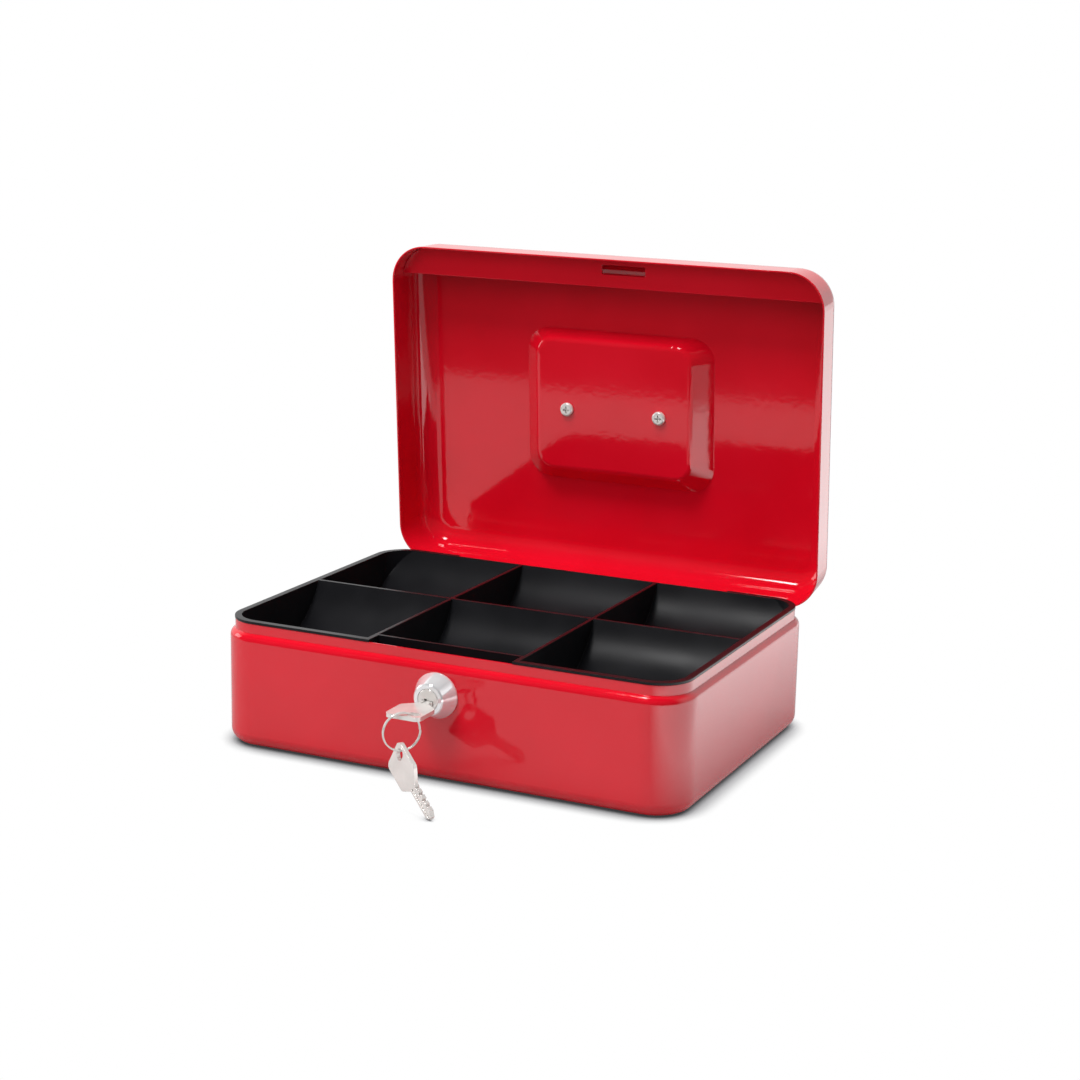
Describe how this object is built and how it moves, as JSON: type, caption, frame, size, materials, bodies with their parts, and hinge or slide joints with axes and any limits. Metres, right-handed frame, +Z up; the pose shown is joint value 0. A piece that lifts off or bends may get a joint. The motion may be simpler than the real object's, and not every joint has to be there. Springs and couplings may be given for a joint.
{
  "type": "cash box",
  "caption": "Hinged steel cash box with a lift-out coin tray, a cam lock with its keys, and a folding handle recessed in the lid.",
  "frame": {"origin": "bottom centre of the base, on the surface that the box stands on", "axes": "+X to the right, +Y towards the hinge, +Z up; the lock is on the -Y side"},
  "size_m": [0.25, 0.2689, 0.2355],
  "materials": {
    "red_paint": "gloss red baked enamel on drawn steel",
    "tray_plastic": "satin black moulded plastic",
    "chrome": "bright chrome plate",
    "nickel_steel": "nickel-plated steel",
    "zinc_steel": "zinc-plated steel",
    "brass": "turned and stamped brass"
  },
  "bodies": {
    "base": {"base_shell": "red_paint", "base_hinge_leaf": "red_paint", "hinge_pin": "zinc_steel", "lock_barrel": "chrome", "lock_nut": "zinc_steel"},
    "plug": {"lock_plug": "nickel_steel", "lock_wafers": "brass", "wafer_springs": "zinc_steel", "cam_hook": "zinc_steel", "cam_washer": "zinc_steel", "cam_screw": "zinc_steel"},
    "key": {"key_in_lock": "nickel_steel"},
    "ring": {"key_ring": "nickel_steel"},
    "spare": {"spare_key": "nickel_steel"},
    "tray": {"coin_tray": "tray_plastic"},
    "lid": {"lid_shell": "red_paint", "latch_strip": "red_paint", "lid_hinge_leaf": "red_paint", "handle_brackets": "chrome", "handle_screws": "nickel_steel"},
    "handle": {"handle_bail": "chrome"}
  },
  "joints": [
    {"name": "lid_hinge", "type": "hinge", "parent": "base", "child": "lid", "pos_m": [0, 0.0948, 0.0505], "axis": [-1, 0, 0], "range_deg": [-86, 0]},
    {"name": "handle_fold", "type": "hinge", "parent": "lid", "child": "handle", "pos_m": [0, 0.11748, 0.14912], "axis": [1, 0, 0], "range_deg": [0, 90]},
    {"name": "tray_lift", "type": "slide", "parent": "base", "child": "tray", "axis": [0, 0, 1], "range_m": [0, 0.06]},
    {"name": "plug_turn", "type": "hinge", "parent": "base", "child": "plug", "pos_m": [0, -0.09, 0.0435], "axis": [0, -1, 0], "range_deg": [0, 90]},
    {"name": "key_slide", "type": "slide", "parent": "plug", "child": "key", "axis": [0, -1, 0], "range_m": [0, 0.02]},
    {"name": "ring_swing", "type": "hinge", "parent": "key", "child": "ring", "pos_m": [0.00015, -0.12474, 0.0421], "axis": [-0.6691, -0.7431, 0], "range_deg": [0, 20]},
    {"name": "spare_key_swing", "type": "hinge", "parent": "ring", "child": "spare", "pos_m": [0.00015, -0.12474, 0.0262], "axis": [-0.6691, -0.7431, 0], "range_deg": [0, 30]}
  ]
}
